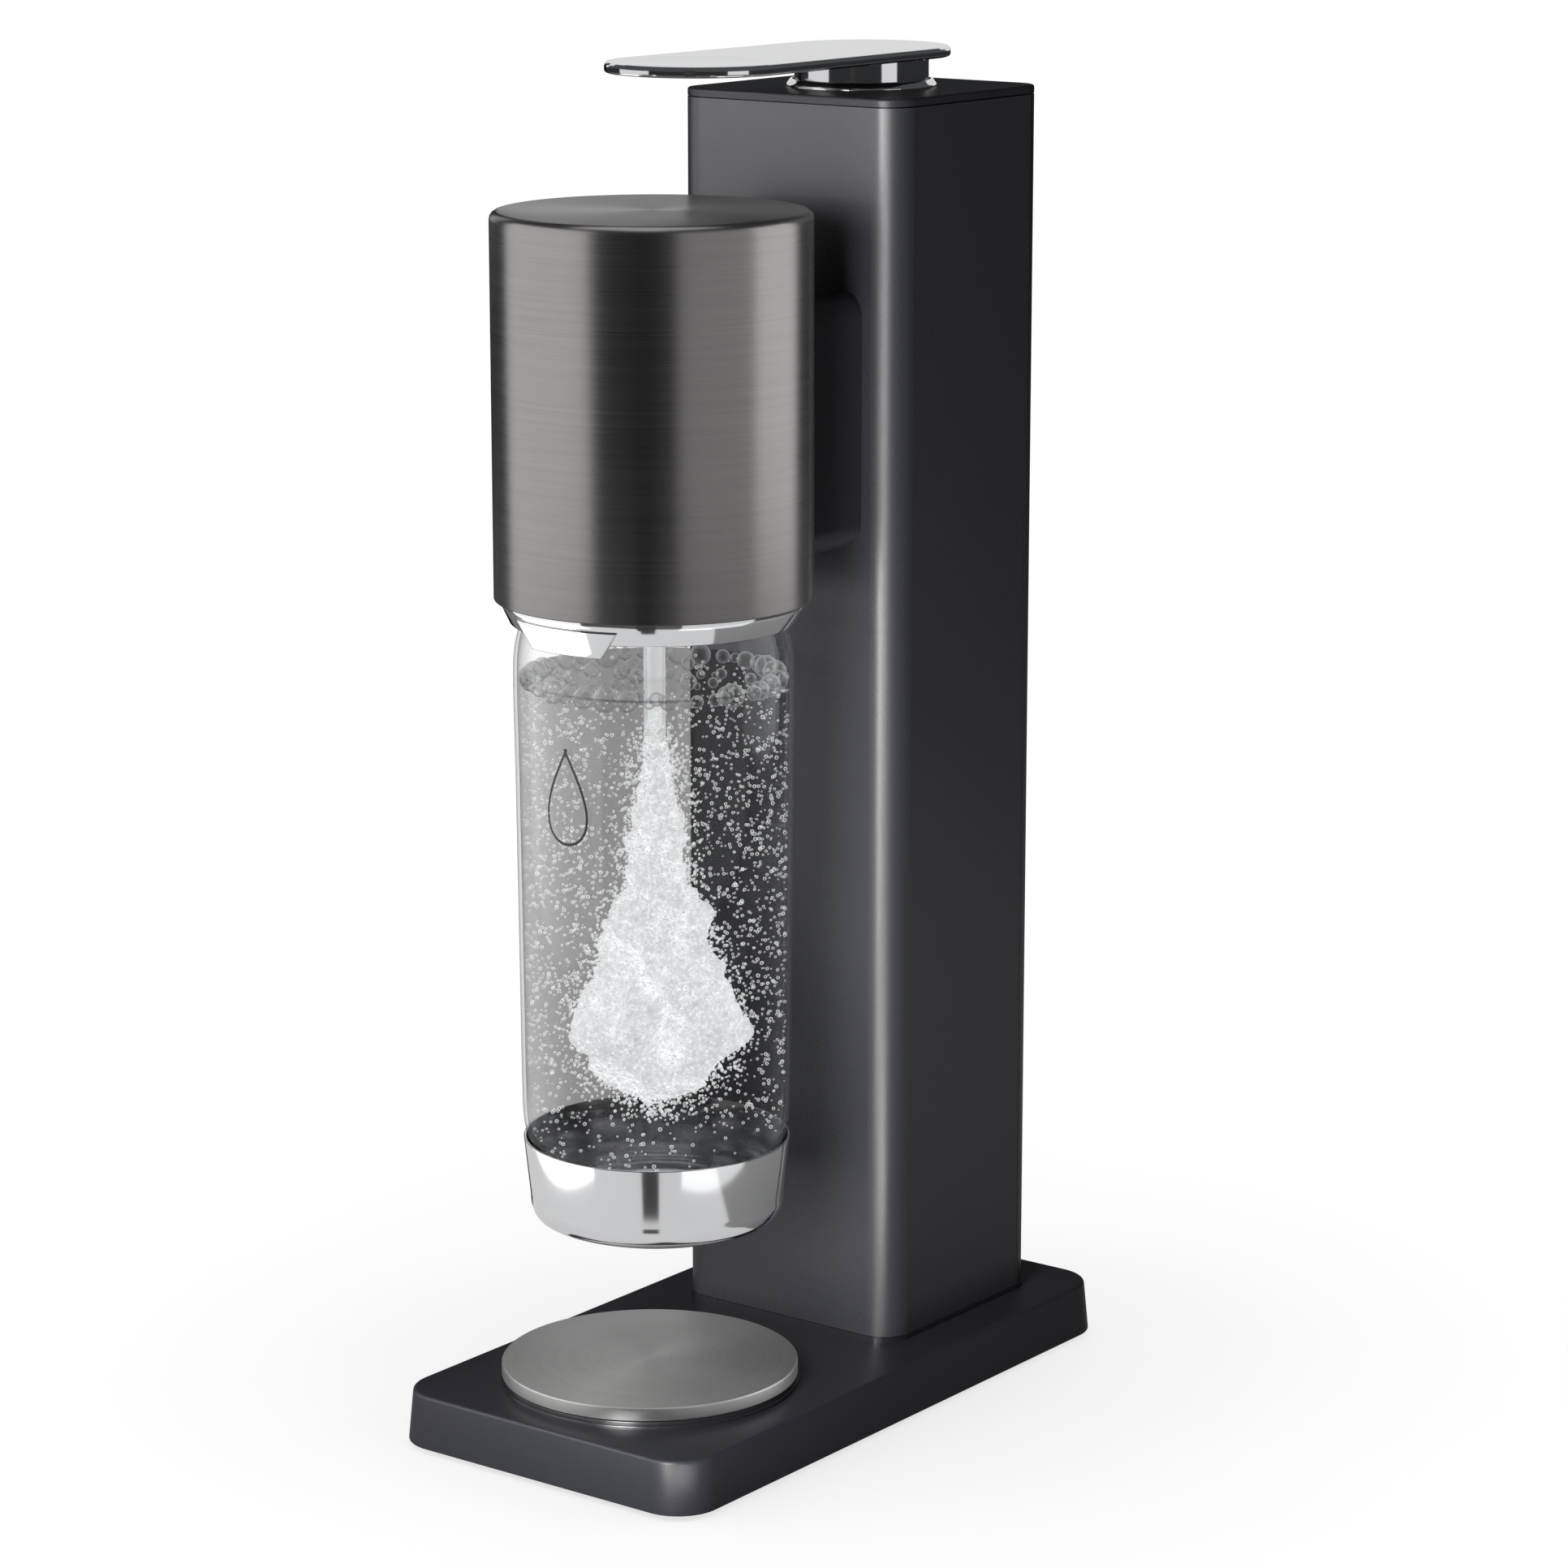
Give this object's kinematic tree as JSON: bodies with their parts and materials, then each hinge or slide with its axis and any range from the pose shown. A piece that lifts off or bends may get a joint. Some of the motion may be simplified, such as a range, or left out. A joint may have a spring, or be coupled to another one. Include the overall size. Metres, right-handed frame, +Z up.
{
  "type": "soda carbonator",
  "caption": "Counter-top soda carbonator: square column with gas cylinder, round brushed head, hanging clear bottle with steel cup, drip disc and flat top lever.",
  "frame": {"origin": "on the surface it stands on, under the middle of the base", "axes": "+Z up, the front with the bottle and the lever's free end faces -Y, +X to the right seen from the front"},
  "size_m": [0.1186, 0.2276, 0.4289],
  "materials": {
    "base_black": "satin moulded plastic, black",
    "column_black": "fine powder coat, satin black",
    "cover_black": "satin moulded plastic, black",
    "cap_black": "satin moulded plastic, black",
    "trim_black": "gloss black plastic",
    "titanium": "horizontally brushed dark steel",
    "disc_steel": "circular brushed steel",
    "chrome": "polished",
    "cup_steel": "polished deep-drawn steel",
    "clear_plastic": "clear plastic",
    "inner_plastic": "dark grey moulded plastic",
    "cast_alloy": "die-cast, as cast",
    "sheet_steel": "zinc-plated sheet",
    "ballast_iron": "painted plate",
    "rubber": "matte",
    "silicone": "pale silicone",
    "brass": "machined",
    "gas_alloy": "drawn, clear lacquer",
    "fastener": "zinc-plated",
    "spring_steel": "drawn wire",
    "acetal": "natural acetal"
  },
  "bodies": {
    "machine": {"base_housing": "base_black", "floor_plate": "base_black", "ballast_plate": "ballast_iron", "rubber_feet": "rubber", "base_screws": "fastener", "column_bolts": "fastener", "disc_seat": "trim_black", "column_plinth": "trim_black", "column_shell": "column_black", "column_cap": "cap_black", "cap_screws": "fastener", "side_rail_right": "sheet_steel", "side_rail_left": "sheet_steel", "cylinder_seat": "inner_plastic", "top_bridge": "sheet_steel", "gas_cylinder": "gas_alloy", "cylinder_valve": "brass", "valve_seal": "rubber", "manifold": "brass", "manifold_screws": "fastener", "manifold_elbow": "brass", "rod_bush": "acetal", "rod_spring": "spring_steel", "rocker_pin": "fastener", "flange_ring": "chrome", "head_sleeve": "titanium", "sleeve_nuts": "fastener", "head_frame": "cast_alloy", "pivot_pins": "fastener", "neck_cover": "cover_black", "neck_bracket": "cast_alloy", "bracket_bolts": "fastener", "snap_spring": "spring_steel", "hose_barb": "brass", "gas_hose": "silicone"},
    "lever": {"lever_paddle": "chrome", "lever_turret": "chrome", "lever_screws": "fastener", "press_cam": "acetal"},
    "rod": {"push_rod": "fastener"},
    "pin": {"valve_pin": "fastener"},
    "holder": {"nozzle_bell": "inner_plastic", "bottle_gasket": "rubber", "nozzle_core": "brass", "core_nut": "brass", "carbonation_tube": "inner_plastic", "tube_tip": "acetal", "relief_body": "brass", "relief_spring": "spring_steel", "safety_valve": "brass", "holder_collar": "chrome"},
    "poppet": {"relief_poppet": "fastener"},
    "bottle": {"bottle": "clear_plastic", "bottle_cup": "cup_steel"},
    "disc": {"drip_disc": "disc_steel"},
    "cover": {"back_cover": "cover_black"}
  },
  "joints": [
    {"name": "lever_press", "type": "hinge", "parent": "machine", "child": "lever", "pos_m": [0, 0.0657, 0.4165], "axis": [1, 0, 0], "range_deg": [0, 7], "stiffness_Nm_per_rad": 5, "springref_deg": -6.88},
    {"name": "rod_down", "type": "slide", "parent": "machine", "child": "rod", "axis": [0, 0, -1], "range_m": [0, 0.0016], "deforming": ["rod_spring"]},
    {"name": "pin_down", "type": "slide", "parent": "machine", "child": "pin", "axis": [0, 0, -1], "range_m": [0, 0.0016]},
    {"name": "holder_tilt", "type": "hinge", "parent": "machine", "child": "holder", "pos_m": [0, -0.0526, 0.274], "axis": [-1, 0, 0], "range_deg": [0, 15]},
    {"name": "bottle_drop", "type": "slide", "parent": "holder", "child": "bottle", "axis": [0, 0, -1], "range_m": [0, 0.034]},
    {"name": "relief_lift", "type": "slide", "parent": "holder", "child": "poppet", "axis": [0, 0, 1], "range_m": [0, 0.0012], "stiffness_N_per_m": 800, "springref_m": -0.002, "deforming": ["relief_spring"]},
    {"name": "disc_lift", "type": "slide", "parent": "machine", "child": "disc", "axis": [0, 0, 1], "range_m": [0, 0.008]},
    {"name": "cover_off", "type": "slide", "parent": "machine", "child": "cover", "axis": [0, 1, 0], "range_m": [0, 0.06]}
  ],
  "couplings": [
    {"joint": "rod_down", "follows": "lever_press", "m_per_rad": 0.012},
    {"joint": "pin_down", "follows": "lever_press", "m_per_rad": 0.012}
  ]
}
